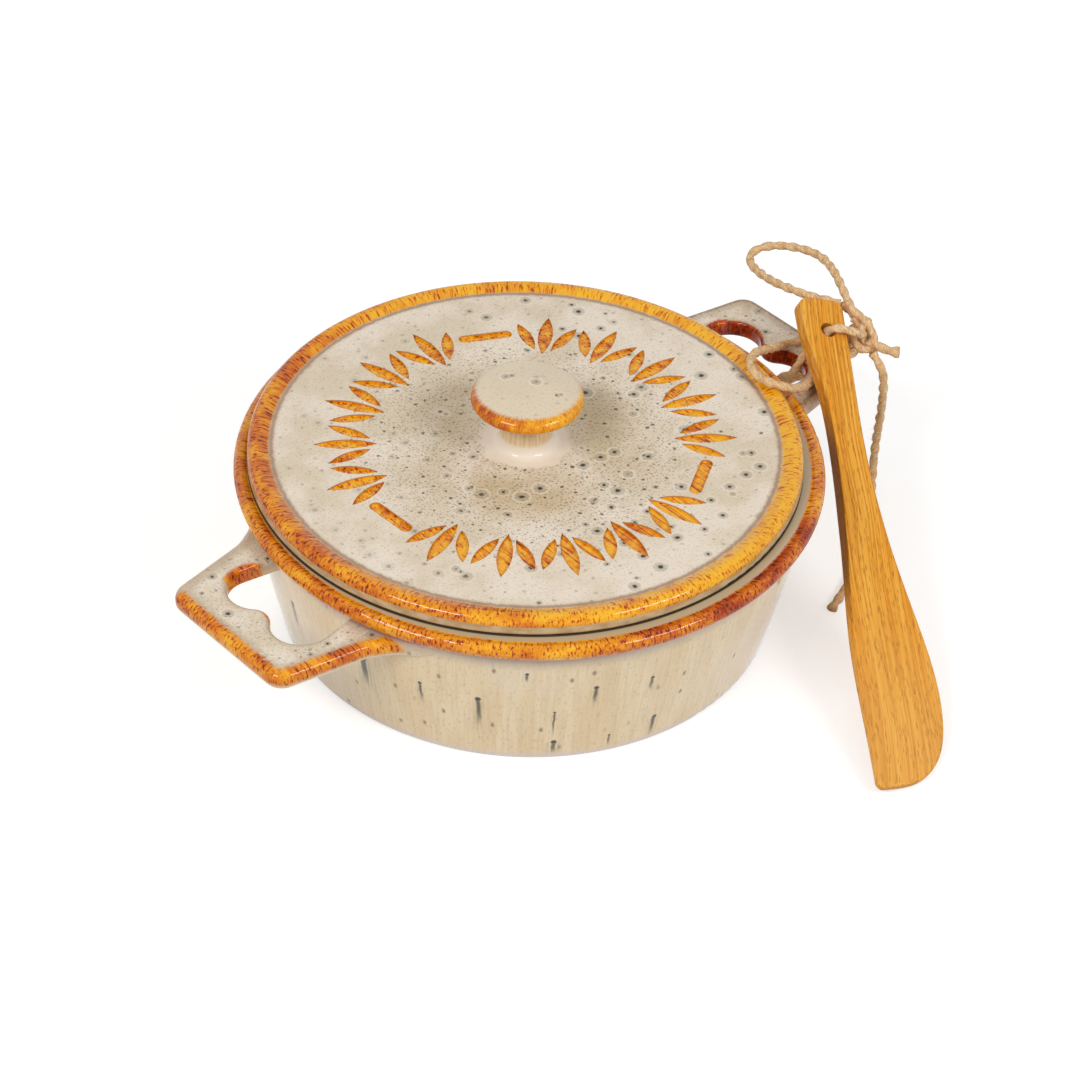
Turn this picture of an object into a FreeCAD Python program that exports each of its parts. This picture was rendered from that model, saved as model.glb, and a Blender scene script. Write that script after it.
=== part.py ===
import FreeCAD, Part

import math
import os

# Round stoneware baker for a soft cheese: a low dish with two pierced lug handles, a flat lid with a
# turned knob, and a wooden spreader that is tied to one handle with twine.
# Millimetres. The origin is the centre of the foot ring on the table, +Z is up, the handles lie along X.

V = FreeCAD.Vector

# Dish, turned as one piece
foot_radius = 75.9
foot_width = 5.2
foot_recess = 1.6
foot_round = 1.2
belly_outside_mouth = 1.8
belly_height = 26.0
neck_outside_mouth = 5.4
neck_below_land = 6.2
rim_beyond_land = 3.9
rim_widest_below_land = 1.8
bead_crest_beyond_land = 1.9
bead_crest_rise = 0.7
land_height = 53.0
land_width = 5.5
mouth_radius = 79.5
mouth_round = 0.9
wall = 5.0
floor_thickness = 4.9
inside_corner = 8.0

# Lug handles, one on each side, pressed on and fused by the glaze firing
handle_beyond_rim = 27.6
handle_top_below_land = 6.0
handle_thickness = 6.0
handle_edge_round = 2.5
handle_end_half_width = 25.0
handle_root_half_width = 29.6
handle_root_beyond_rim = 2.1
handle_corner_round = 6.0
handle_flare_round = 12.0
handle_root_depth = 18.9
flare_half_width = 41.5
handle_bar_width = 11.9
lobe_spread = 10.0
lobe_radius = 9.0
bump_beyond_lobes = 10.2
hole_side_angle = 10.4
hole_edge_round = 1.6
handle_bite = 2.2

# Lid, turned as one piece with its knob
lid_inside_land = 1.4
lid_panel_thickness = 4.6
lid_edge_round = 1.3
lid_side_height = 3.1
lid_ring_crest_in = 3.1
lid_ring_rise = 1.2
lid_ring_width = 6.3
lid_seat_gap = 0.15
flange_play = 2.3
flange_width = 4.2
flange_depth = 4.4
flange_round = 1.2
lid_slide_x = -0.15
lid_slide_y = 1.9
knob_rise = 19.6
knob_radius = 16.9
knob_edge_round = 2.9
knob_dome = 0.7
knob_neck_radius = 8.2
knob_neck_waist = 7.9
knob_head_thickness = 6.4
neck_flare = 2.6

# Sunk ring of sprigs and dashes round the lid's panel
mark_depth = 0.9
mark_groups = 3
sprigs_in_group = 5
first_dash_angle = 62.0
mark_middle_radius = 54.2
sprig_length = 19.5
leaf_width = 4.6
side_leaf_length = 14.5
side_leaf_width = 3.9
side_leaf_angle = 28.0
side_leaf_out = 2.1
side_leaf_aside = 2.5
dash_length = 17.0
dash_width = 3.9

# Wooden spreader, sawn from one board, leaning from the table up to the right handle
spreader_length = 169.8
spreader_thickness = 5.5
blade_tip_thickness = 2.4
blade_taper_length = 92.0
blade_tip_slant = 12.0
blade_back_offset = 5.9
blade_corner_round = 2.2
blade_corner_rise = 1.5
grip_half_width = 7.5
grip_corner_round = 3.2
cord_hole_diameter = 5.2
cord_hole_from_top = 11.9
cord_hole_offset = 0.9
spreader_edge_round = 0.9
spreader_heading = 54.4
spreader_roll = 17.0
seat_across = 1.7
seat_along = 142.6
seat_on_side = 0.5
seat_gap = 3.0

# Two-ply jute twine
twine_diameter = 2.6
knot_radius = 4.2
knot_end_radius = 2.0
knot_half_length = 8.0


def arc(a, b, c):
    """Arc from a through b to c."""
    return Part.Arc(a, b, c).toShape()


def line(a, b):
    return Part.LineSegment(a, b).toShape()


def spun(edges):
    """Solid of revolution about the Z axis from edges of a closed outline in the XZ plane."""
    face = Part.Face(Part.Wire(edges))
    return face.revolve(V(0, 0, 0), V(0, 0, 1), 360)


def at(radius, height):
    return V(radius, 0, height)


def corner_arc(before, corner, after, radius):
    """The two tangent points and the middle of a rounded corner."""
    u = (before - corner).normalize()
    w = (after - corner).normalize()
    half = u.getAngle(w) / 2
    back = radius / math.tan(half)
    bisector = (u + w).normalize()
    middle = corner + bisector * (radius / math.sin(half) - radius)
    return corner + u * back, middle, corner + w * back


def rounded_path(points, radii):
    """Edges along a route of straight runs whose corners are arcs of the given radii."""
    edges = []
    last = points[0]
    for i in range(1, len(points) - 1):
        start, middle, end = corner_arc(points[i - 1], points[i], points[i + 1], radii[i - 1])
        if last.distanceToPoint(start) > 1e-6:
            edges.append(line(last, start))
        edges.append(arc(start, middle, end))
        last = end
    edges.append(line(last, points[-1]))
    return edges


# Dish: foot ring, bellied wall, rolled bead at the rim and a flat land that carries the lid.
floor_top = foot_recess + floor_thickness
land_outer_radius = mouth_radius + land_width
bead_crest_radius = land_outer_radius + bead_crest_beyond_land
rim_radius = land_outer_radius + rim_beyond_land
neck_radius = mouth_radius + neck_outside_mouth
belly_radius = mouth_radius + belly_outside_mouth
wall_inner_belly = belly_radius - wall
wall_inner_low = wall_inner_belly - 2.2
bead_crest_height = land_height + bead_crest_rise
neck_height = land_height - neck_below_land
rim_widest_height = land_height - rim_widest_below_land


def make_dish_body():
    foot_inner = foot_radius - foot_width
    foot_corner = at(foot_radius, foot_round)
    foot_edge = at(foot_radius - foot_round, 0)
    foot_mid = at(foot_radius - 0.3 * foot_round, 0.3 * foot_round)
    neck = at(neck_radius, neck_height)
    tuck = at(neck_radius + 1.9, neck_height + 1.7)
    widest = at(rim_radius, rim_widest_height)
    crest = at(bead_crest_radius, bead_crest_height)
    land_edge = at(land_outer_radius, land_height)
    mouth_top = at(mouth_radius + mouth_round, land_height)
    mouth_side = at(mouth_radius, land_height - mouth_round)
    low = at(wall_inner_low, floor_top + inside_corner)
    floor_edge = at(wall_inner_low - inside_corner, floor_top)
    return spun([
        line(at(0, foot_recess), at(foot_inner - 2 * foot_recess, foot_recess)),
        arc(at(foot_inner - 2 * foot_recess, foot_recess), at(foot_inner - 0.9 * foot_recess, 0.7 * foot_recess),
            at(foot_inner, 0)),
        line(at(foot_inner, 0), foot_edge),
        arc(foot_edge, foot_mid, foot_corner),
        arc(foot_corner, at(belly_radius, belly_height), neck),
        arc(neck, at(neck_radius + 0.6, neck_height + 1.1), tuck),
        arc(tuck, at(rim_radius - 0.5, rim_widest_height - 1.5), widest),
        arc(widest, at(rim_radius - 0.55, rim_widest_height + 1.55), crest),
        arc(crest, at(bead_crest_radius - 0.95, bead_crest_height - 0.2), land_edge),
        line(land_edge, mouth_top),
        arc(mouth_top, at(mouth_radius + 0.29 * mouth_round, land_height - 0.29 * mouth_round), mouth_side),
        arc(mouth_side, at(wall_inner_belly, belly_height), low),
        arc(low, at(wall_inner_low - 0.29 * inside_corner, floor_top + 0.29 * inside_corner), floor_edge),
        line(floor_edge, at(0, floor_top)),
        line(at(0, floor_top), at(0, foot_recess)),
    ])


# Handles: a flat plate with rounded corners and flared roots, pierced by a two-lobed finger hole.
handle_top = land_height - handle_top_below_land
handle_under = handle_top - handle_thickness
handle_reach = rim_radius + handle_beyond_rim
handle_root_at = rim_radius + handle_root_beyond_rim
handle_root_start = rim_radius - handle_root_depth
lobe_centre_at = handle_reach - handle_bar_width - lobe_radius
bump_centre_at = lobe_centre_at + bump_beyond_lobes


def handle_outline():
    """Closed outline of the right handle's plate, with its inner side hidden in the dish wall."""
    half = [
        V(handle_root_start, flare_half_width + 1.2, handle_under),
        V(handle_root_start + 3.5, flare_half_width, handle_under),
        V(handle_root_at - 10.5, flare_half_width - 7.4, handle_under),
        V(handle_root_at - 3.5, handle_root_half_width + 0.6, handle_under),
        V(handle_reach, handle_end_half_width, handle_under),
    ]
    points = [V(p.x, -p.y, p.z) for p in half] + half[::-1]
    turns = [4.0, handle_flare_round, handle_flare_round, handle_corner_round]
    return Part.Wire(rounded_path(points, turns + turns[::-1]) + [line(points[-1], points[0])])


def finger_hole():
    """Two lobes side by side, with the rounded bump of the outer bar between them."""
    spread = math.hypot(bump_centre_at - lobe_centre_at, lobe_spread)
    bump_radius = spread - lobe_radius
    toward = math.atan2(-lobe_spread, bump_centre_at - lobe_centre_at)
    slope = math.radians(hole_side_angle)
    z = handle_under - 1
    inside = handle_root_start - 1
    run_out = math.tan(slope)

    def lobe_point(angle, side):
        return V(lobe_centre_at + lobe_radius * math.cos(angle), side * (lobe_spread + lobe_radius * math.sin(angle)), z)

    edges = []
    ends = []
    for side in (1, -1):
        last = math.pi / 2 + slope
        joint = lobe_point(toward, side)
        outer = lobe_point((toward + last) / 2, side)
        shoulder = lobe_point(last, side)
        end = V(inside, shoulder.y - side * (shoulder.x - inside) * run_out, z)
        edges.append(arc(joint, outer, shoulder))
        edges.append(line(shoulder, end))
        ends.append(end)
    edges.append(line(ends[0], ends[1]))
    tip = V(bump_centre_at - bump_radius, 0, z)
    edges.append(arc(lobe_point(toward, 1), tip, lobe_point(toward, -1)))
    wire = Part.Wire(Part.__sortEdges__(edges))
    return Part.Face(wire).extrude(V(0, 0, handle_thickness + 2))


def level_edges(shape, near):
    """Level edges whose bounds pass a test."""
    return [e for e in shape.Edges if e.BoundBox.ZLength < 1e-6 and near(e.BoundBox)]


def make_handle():
    plate = Part.Face(handle_outline()).extrude(V(0, 0, handle_thickness))
    root = handle_root_start + 0.01
    plate = plate.makeFillet(handle_edge_round, level_edges(plate, lambda box: box.XMax > root))
    plate = plate.cut(finger_hole())
    far = bump_centre_at + 0.01
    side = lobe_spread + lobe_radius + 0.01
    return plate.makeFillet(
        hole_edge_round,
        level_edges(plate, lambda box: root < box.XMax < far and box.YMax < side and box.YMin > -side),
    )


def make_dish():
    body = make_dish_body()
    inside = make_dish_inside()
    right = make_handle().cut(inside)
    left = right.rotated(V(0, 0, 0), V(0, 0, 1), 180)
    return body.fuse([right, left]).removeSplitter()


def make_dish_inside():
    """A plug that fills the dish out to the middle of its wall, to trim the handles' roots."""
    return Part.makeCylinder(neck_radius - handle_bite - wall / 2, land_height, V(0, 0, 0))


# Lid: flat panel with a low rolled ring at its edge, a locating flange below and a turned knob.
lid_radius = land_outer_radius - lid_inside_land
lid_ring_crest_radius = lid_radius - lid_ring_crest_in
lid_ring_inner_radius = lid_radius - lid_ring_width
lid_under = land_height + lid_seat_gap
panel_top = lid_under + lid_panel_thickness
flange_radius = mouth_radius - flange_play
knob_top = panel_top + knob_rise


def make_lid_body():
    flange_bottom = lid_under - flange_depth
    flange_inner = flange_radius - flange_width
    flange_middle = flange_radius - flange_width / 2
    side_low = at(lid_radius, lid_under + lid_edge_round)
    side_high = at(lid_radius - 0.15, lid_under + lid_side_height)
    ring_crest = at(lid_ring_crest_radius, panel_top + lid_ring_rise)
    ring_inner = at(lid_ring_inner_radius, panel_top)
    neck_foot = at(knob_neck_radius + neck_flare, panel_top)
    neck_low = at(knob_neck_radius, panel_top + neck_flare)
    head_under = knob_top - knob_head_thickness
    neck_high = at(knob_neck_radius, head_under - 1.6)
    head_inner = at(knob_neck_radius + 2.2, head_under)
    head_low = at(knob_radius - 2.4, head_under + 0.9)
    head_side = at(knob_radius, knob_top - knob_dome - knob_edge_round)
    head_edge = at(knob_radius - knob_edge_round, knob_top - knob_dome)
    dome_radius = (head_edge.x**2 + knob_dome**2) / (2 * knob_dome)
    dome_centre = knob_top - dome_radius
    return spun([
        line(at(0, lid_under + 0.2), at(flange_inner - 1.0, lid_under + 0.2)),
        arc(at(flange_inner - 1.0, lid_under + 0.2), at(flange_inner - 0.25, lid_under - 0.1),
            at(flange_inner, lid_under - 0.9)),
        line(at(flange_inner, lid_under - 0.9), at(flange_inner + 0.4, flange_bottom + flange_round)),
        arc(at(flange_inner + 0.4, flange_bottom + flange_round), at(flange_middle, flange_bottom),
            at(flange_radius - 0.4, flange_bottom + flange_round)),
        line(at(flange_radius - 0.4, flange_bottom + flange_round), at(flange_radius, lid_under)),
        line(at(flange_radius, lid_under), at(lid_radius - lid_edge_round, lid_under)),
        arc(at(lid_radius - lid_edge_round, lid_under),
            at(lid_radius - 0.29 * lid_edge_round, lid_under + 0.29 * lid_edge_round), side_low),
        line(side_low, side_high),
        arc(side_high, at(lid_radius - 0.85, panel_top + 0.35), ring_crest),
        arc(ring_crest, at(lid_ring_inner_radius + 1.3, panel_top + 0.72), ring_inner),
        line(ring_inner, neck_foot),
        arc(neck_foot, at(knob_neck_radius + 0.29 * neck_flare, panel_top + 0.29 * neck_flare), neck_low),
        arc(neck_low, at(knob_neck_waist, (neck_low.z + neck_high.z) / 2), neck_high),
        arc(neck_high, at(knob_neck_radius + 0.7, head_under - 0.4), head_inner),
        line(head_inner, head_low),
        arc(head_low, at(knob_radius - 0.7, head_under + 1.7), head_side),
        arc(head_side, at(knob_radius - 0.29 * knob_edge_round, knob_top - knob_dome - 0.29 * knob_edge_round),
            head_edge),
        arc(head_edge, at(head_edge.x / 2, dome_centre + math.sqrt(dome_radius**2 - head_edge.x**2 / 4)),
            at(0, knob_top)),
        line(at(0, knob_top), at(0, lid_under + 0.2)),
    ])


def leaf(start, length, width, turn):
    """A slender leaf, pointed at both ends, sunk into the panel; it points along +X before its turn."""
    z = panel_top - mark_depth
    a = V(0, 0, z)
    b = V(length, 0, z)
    edges = [arc(a, V(length * 0.5, width / 2, z), b), arc(b, V(length * 0.5, -width / 2, z), a)]
    solid = Part.Face(Part.Wire(edges)).extrude(V(0, 0, 2 * mark_depth))
    solid.rotate(V(0, 0, 0), V(0, 0, 1), turn)
    solid.translate(start)
    return solid


def make_sprig():
    """One middle leaf and two side leaves that spread beside its foot."""
    foot = mark_middle_radius - sprig_length / 2
    middle = leaf(V(foot, 0, 0), sprig_length, leaf_width, 0)
    sides = [
        leaf(V(foot + side_leaf_out, side * side_leaf_aside, 0), side_leaf_length, side_leaf_width,
             side * side_leaf_angle)
        for side in (1, -1)
    ]
    return Part.makeCompound([middle] + sides)


def make_dash():
    z = panel_top - mark_depth
    r = dash_width / 2
    h = dash_length / 2 - r
    m = mark_middle_radius
    edges = [
        line(V(m - r, -h, z), V(m - r, h, z)),
        arc(V(m - r, h, z), V(m, h + r, z), V(m + r, h, z)),
        line(V(m + r, h, z), V(m + r, -h, z)),
        arc(V(m + r, -h, z), V(m, -h - r, z), V(m - r, -h, z)),
    ]
    return Part.Face(Part.Wire(edges)).extrude(V(0, 0, 2 * mark_depth))


def make_lid():
    marks = []
    places = sprigs_in_group + 1
    pitch = 360 / (mark_groups * places)
    sprig = make_sprig()
    dash = make_dash()
    for number in range(mark_groups * places):
        mark = dash if number % places == 0 else sprig
        marks.append(mark.rotated(V(0, 0, 0), V(0, 0, 1), first_dash_angle + number * pitch))
    lid = make_lid_body().cut(Part.makeCompound(marks))
    lid.translate(V(lid_slide_x, lid_slide_y, 0))
    return lid


# Spreader: grip with a cord hole, narrow waist and a belly on one side of the blade.
half_board = spreader_thickness / 2
hole_along = spreader_length - cord_hole_from_top


def smooth(points, start, end):
    """A smooth curve through points in the XY plane with the given end directions."""
    curve = Part.BSplineCurve()
    curve.interpolate(Points=points, InitialTangent=start, FinalTangent=end)
    return curve.toShape()


def make_board():
    """The spreader flat: width along X, length along Y from the blade tip, thickness about Z = 0."""
    top = spreader_length
    g = grip_half_width
    r = grip_corner_round
    k = r * (1 - math.sqrt(0.5))
    tilt = math.radians(blade_tip_slant)
    corner = V(-blade_back_offset + blade_corner_round, blade_corner_rise, 0)

    def on_corner(angle):
        return corner + V(-math.sin(angle), -math.cos(angle), 0) * blade_corner_round

    tip_end = on_corner(-tilt)
    back_start = on_corner(math.pi / 2)
    belly_side = [
        V(g, top - r, 0), V(g, 146, 0), V(g - 0.1, 121, 0), V(9.9, 87, 0), V(14.3, 63, 0),
        V(18.6, 41, 0), V(19.3, 24, 0), V(15.4, 9.8, 0), V(7.0, 2.0, 0), tip_end,
    ]
    back_side = [
        back_start, V(-6.4, 22, 0), V(-6.8, 47, 0), V(-5.0, 72, 0), V(-3.3, 100, 0),
        V(-2.9, 118, 0), V(-4.7, 143, 0), V(-g + 0.3, 158, 0), V(-g, top - r, 0),
    ]
    edges = [
        smooth(belly_side, V(0, -1, 0), V(-math.cos(tilt), -math.sin(tilt), 0)),
        arc(tip_end, on_corner((math.pi / 2 - tilt) / 2), back_start),
        smooth(back_side, V(0, 1, 0), V(0, 1, 0)),
        arc(V(-g, top - r, 0), V(-g + k, top - k, 0), V(-g + r, top, 0)),
        line(V(-g + r, top, 0), V(g - r, top, 0)),
        arc(V(g - r, top, 0), V(g - k, top - k, 0), V(g, top - r, 0)),
    ]
    flat = Part.Face(Part.Wire(edges))
    flat.translate(V(0, 0, -half_board))
    board = flat.extrude(V(0, 0, spreader_thickness))
    h = half_board
    tip = blade_tip_thickness / 2
    high = top + 5
    side = Part.makePolygon([
        V(-40, high, -h), V(-40, blade_taper_length, -h), V(-40, -5, -tip),
        V(-40, -5, tip), V(-40, blade_taper_length, h), V(-40, high, h), V(-40, high, -h),
    ])
    board = board.common(Part.Face(side).extrude(V(80, 0, 0))).Solids[0]
    rim = [e for e in board.Edges if not is_cross_line(e) and not is_upright(e)]
    board = board.makeFillet(spreader_edge_round, rim)
    hole = Part.makeCylinder(cord_hole_diameter / 2, 4 * h, V(cord_hole_offset, hole_along, -2 * h))
    return board.cut(hole)


def is_cross_line(edge):
    """The straight line across a face where the blade's taper begins."""
    box = edge.BoundBox
    return abs(box.YMin - blade_taper_length) < 0.01 and box.YLength < 0.01


def is_upright(edge):
    box = edge.BoundBox
    return box.XLength < 0.01 and box.YLength < 0.01


def board_axes(lean):
    """Directions of the board's length, width and thickness for a lean above the table."""
    head = math.radians(spreader_heading)
    rise = math.radians(lean)
    roll = math.radians(spreader_roll)
    along = V(math.cos(head) * math.cos(rise), math.sin(head) * math.cos(rise), math.sin(rise))
    level = V(math.sin(head), -math.cos(head), 0)
    up = level.cross(along)
    across = level * math.cos(roll) - up * math.sin(roll)
    return across, along, across.cross(along)


def board_placement(lean):
    """The placement that seats the board's underside over the right handle's side edge."""
    across, along, out = board_axes(lean)
    inset = handle_edge_round
    end = V(handle_reach - handle_corner_round, -handle_end_half_width - 1.0 + inset, handle_top - inset)
    root = V(handle_root_at, -handle_root_half_width + inset, handle_top - inset)
    seat = end + (root - end) * seat_on_side
    contact = seat + out * (inset + seat_gap + half_board)
    origin = contact - across * seat_across - along * seat_along
    matrix = FreeCAD.Matrix(
        across.x, along.x, out.x, origin.x,
        across.y, along.y, out.y, origin.y,
        across.z, along.z, out.z, origin.z,
    )
    return FreeCAD.Placement(matrix)


def make_spreader():
    """Leans the board until its tip meets the table."""
    board = make_board()
    low, high = 5.0, 45.0
    for _ in range(26):
        lean = (low + high) / 2
        placed = board.copy()
        placed.Placement = board_placement(lean)
        if placed.optimalBoundingBox(False, False).ZMin > 0:
            low = lean
        else:
            high = lean
    print("spreader lean", round(lean, 3), "placement", placed.Placement)
    return placed


# Twine: tied through the spreader's hole and round the handle's bar, with a bow and two tails.
knot_centre = V(122.6, -19.7, 54.9)
knot_axis = V(-4.2, -14.9, -8.0)

tie_route = [
    (118.9, -24.3, 56.7), (115.4, -24.0, 59.3), (108.8, -18.9, 61.9), (108.4, -14.2, 52.1),
    (103.5, -13.1, 49.2), (101.8, -12.2, 43.6), (101.0, -8.0, 38.6), (102.6, -2.6, 37.6),
    (107.4, -3.8, 37.9), (112.6, -10.2, 38.0), (118.9, -14.0, 40.0), (122.2, -14.6, 44.4),
    (122.9, -16.4, 50.4),
]

bow_low_route = [
    (119.4, -16.2, 52.4), (114.9, -11.0, 49.3), (109.6, -6.4, 48.8), (104.8, -5.2, 49.2),
    (97.3, -6.4, 51.7), (88.2, -9.2, 56.4), (81.2, -12.6, 60.5), (76.4, -15.6, 61.0),
    (73.9, -20.0, 61.0), (73.2, -25.2, 61.0), (75.4, -29.6, 60.8), (80.0, -31.0, 58.0),
    (85.4, -29.4, 54.8), (90.2, -26.8, 51.4), (94.6, -24.4, 49.2), (99.8, -22.8, 48.8),
    (106.4, -21.6, 48.8), (112.4, -21.2, 48.9), (117.5, -22.7, 50.0),
]

bow_high_route = [
    (124.7, -12.2, 59.0), (127.7, -4.8, 62.2), (131.5, 2.2, 62.2), (134.3, 9.6, 61.8),
    (134.1, 17.2, 60.8), (131.8, 24.2, 59.6), (128.5, 29.4, 58.0), (123.9, 30.9, 57.0),
    (119.3, 27.6, 56.8), (116.4, 21.0, 57.9), (114.3, 11.8, 59.6), (114.6, 2.4, 61.2),
    (116.6, -3.4, 61.0), (122.1, -10.6, 59.9),
]

long_tail_route = [
    (120.5, -27.3, 50.7), (121.3, -31.0, 47.0), (122.4, -31.8, 41.0), (124.2, -30.6, 28.6),
    (125.3, -29.0, 16.0), (125.2, -29.0, 7.2), (121.2, -32.8, 2.3), (111.8, -41.0, 1.35),
    (98.6, -50.4, 1.4), (85.0, -60.2, 1.35), (75.6, -64.8, 1.4), (66.2, -68.3, 1.35),
]

short_tail_route = [
    (123.3, -27.6, 52.1), (124.5, -30.6, 51.4), (126.6, -34.0, 51.9),
]


def make_tube(name, route):
    """A round cord along straight runs joined by the largest tangent arcs that the runs allow."""
    points = [V(*p) for p in route]
    radii = []
    for i in range(1, len(points) - 1):
        before = points[i] - points[i - 1]
        after = points[i + 1] - points[i]
        turn = before.getAngle(after)
        radii.append(0.45 * min(before.Length, after.Length) / math.tan(turn / 2))
    path = Part.Wire(rounded_path(points, radii))
    section = Part.Wire(Part.Circle(points[0], points[1] - points[0], twine_diameter / 2).toShape())
    tube = path.makePipeShell([section], True, False)
    expected = math.pi * (twine_diameter / 2) ** 2 * path.Length
    print(name, "length", round(path.Length, 1), "volume ratio", round(tube.Volume / expected, 4),
          "radii", [round(r, 1) for r in radii], "valid", tube.isValid())
    return tube


def make_knot():
    """The tied knot as one plain spindle beside the spreader's edge."""
    r = knot_radius
    e = knot_end_radius
    h = knot_half_length
    spindle = spun([
        line(at(0, -h), at(e, -h)),
        arc(at(e, -h), at(r, 0), at(e, h)),
        line(at(e, h), at(0, h)),
        line(at(0, h), at(0, -h)),
    ])
    turn = FreeCAD.Rotation(V(0, 0, 1), knot_axis)
    spindle.Placement = FreeCAD.Placement(knot_centre, turn)
    return spindle


parts = {
    "dish": make_dish(),
    "lid": make_lid(),
    "spreader": make_spreader(),
    "twine_knot": make_knot(),
    "twine_tie": make_tube("twine_tie", tie_route),
    "twine_bow_low": make_tube("twine_bow_low", bow_low_route),
    "twine_bow_high": make_tube("twine_bow_high", bow_high_route),
    "twine_tail_long": make_tube("twine_tail_long", long_tail_route),
    "twine_tail_short": make_tube("twine_tail_short", short_tail_route),
}

os.makedirs("parts", exist_ok=True)
for node, shape in parts.items():
    box = shape.optimalBoundingBox(False, False)
    print(node, shape.ShapeType, len(shape.Solids), "valid", shape.isValid(), "volume", round(shape.Volume),
          "x", round(box.XMin, 2), round(box.XMax, 2), "y", round(box.YMin, 2), round(box.YMax, 2),
          "z", round(box.ZMin, 2), round(box.ZMax, 2))
    shape.exportStep(f"parts/{node}.step")
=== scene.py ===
import math
import random

import bpy
from mathutils import Matrix, Vector


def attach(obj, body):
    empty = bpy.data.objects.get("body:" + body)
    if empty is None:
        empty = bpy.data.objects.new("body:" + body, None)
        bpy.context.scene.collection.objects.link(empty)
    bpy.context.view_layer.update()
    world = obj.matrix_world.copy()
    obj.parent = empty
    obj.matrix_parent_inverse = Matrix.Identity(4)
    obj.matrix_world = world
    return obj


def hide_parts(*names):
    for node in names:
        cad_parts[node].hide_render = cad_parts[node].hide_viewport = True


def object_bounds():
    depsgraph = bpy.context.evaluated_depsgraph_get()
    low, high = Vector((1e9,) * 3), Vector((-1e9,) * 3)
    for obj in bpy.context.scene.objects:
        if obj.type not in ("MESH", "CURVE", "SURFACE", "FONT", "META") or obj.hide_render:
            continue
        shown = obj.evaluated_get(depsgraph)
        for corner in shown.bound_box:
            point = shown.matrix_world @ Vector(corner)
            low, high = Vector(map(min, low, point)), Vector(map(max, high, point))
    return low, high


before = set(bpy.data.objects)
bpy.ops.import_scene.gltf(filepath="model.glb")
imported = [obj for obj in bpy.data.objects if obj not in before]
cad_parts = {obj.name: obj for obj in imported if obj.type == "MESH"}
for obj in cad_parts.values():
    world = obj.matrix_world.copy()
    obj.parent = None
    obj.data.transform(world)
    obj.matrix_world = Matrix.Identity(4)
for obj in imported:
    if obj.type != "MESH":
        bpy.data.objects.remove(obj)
cad_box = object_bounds()
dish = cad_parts["dish"]
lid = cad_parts["lid"]
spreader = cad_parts["spreader"]

# Dish: a turned stoneware body with two pierced lug handles pressed on before firing. It is dipped in
# a cream glaze that runs down the wall in fine streaks and breaks to amber over the rim and the
# handles' edges, where it is thin. The glaze is laid out in millimetres.
MOUTH_RADIUS = 79.5
LAND_HEIGHT = 53.0
RIM_INNER = 84.3
RIM_MIDDLE = 86.0
RIM_UNDERSIDE = 48.9
NECK_RADIUS = 84.9
WALL_RADIUS = 80.0
WALL_HEART = 76.9
FLOOR_TOP = 6.5
HANDLE_REACH = 116.5
HANDLE_END_HALF_WIDTH = 25.0
HANDLE_SIDE_NORMAL = (0.1765, 0.9843)
HANDLE_FLARE_NORMAL = (0.4867, 0.8736)
HANDLE_FLARE_OFFSET = 68.97
HANDLE_TOP = 47.0
LOBE_AT = (95.6, 10.0)
LOBE_RADIUS = 9.0
BUMP_AT = 105.8
LID_CENTRE = (-0.15, 1.9)
LID_EDGE_RADIUS = 83.6
# Blue-grey runs in the glaze. Each is a dot with a tail below it: its angle round the dish in degrees,
# height, dot radius and tail length.
DRIPS = [
    (-141.6, 27.2, 0.95, 14.0), (-126.0, 22.5, 0.45, 13.0), (-125.6, 8.0, 1.0, 6.5),
    (-117.9, 32.4, 0.8, 8.0), (-105.8, 31.3, 0.65, 6.5), (-103.0, 11.3, 0.85, 9.0),
    (-113.3, 8.0, 0.5, 5.5), (-153.8, 28.9, 0.65, 9.0), (-167.2, 30.0, 1.5, 13.0),
    (-131.9, 40.2, 0.6, 4.0), (171.0, 31.0, 1.0, 12.0), (62.0, 26.0, 0.9, 12.0),
    (118.0, 18.0, 0.8, 8.0), (20.0, 30.0, 0.8, 9.0), (-48.0, 24.0, 0.7, 9.0),
]


def tint(red, green, blue):
    """A paint colour from its screen values of 0 to 255, as a shader takes it."""
    def linear(value):
        value /= 255
        return value / 12.92 if value <= 0.04045 else ((value + 0.055) / 1.055) ** 2.4
    return (linear(red), linear(green), linear(blue), 1.0)


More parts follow.
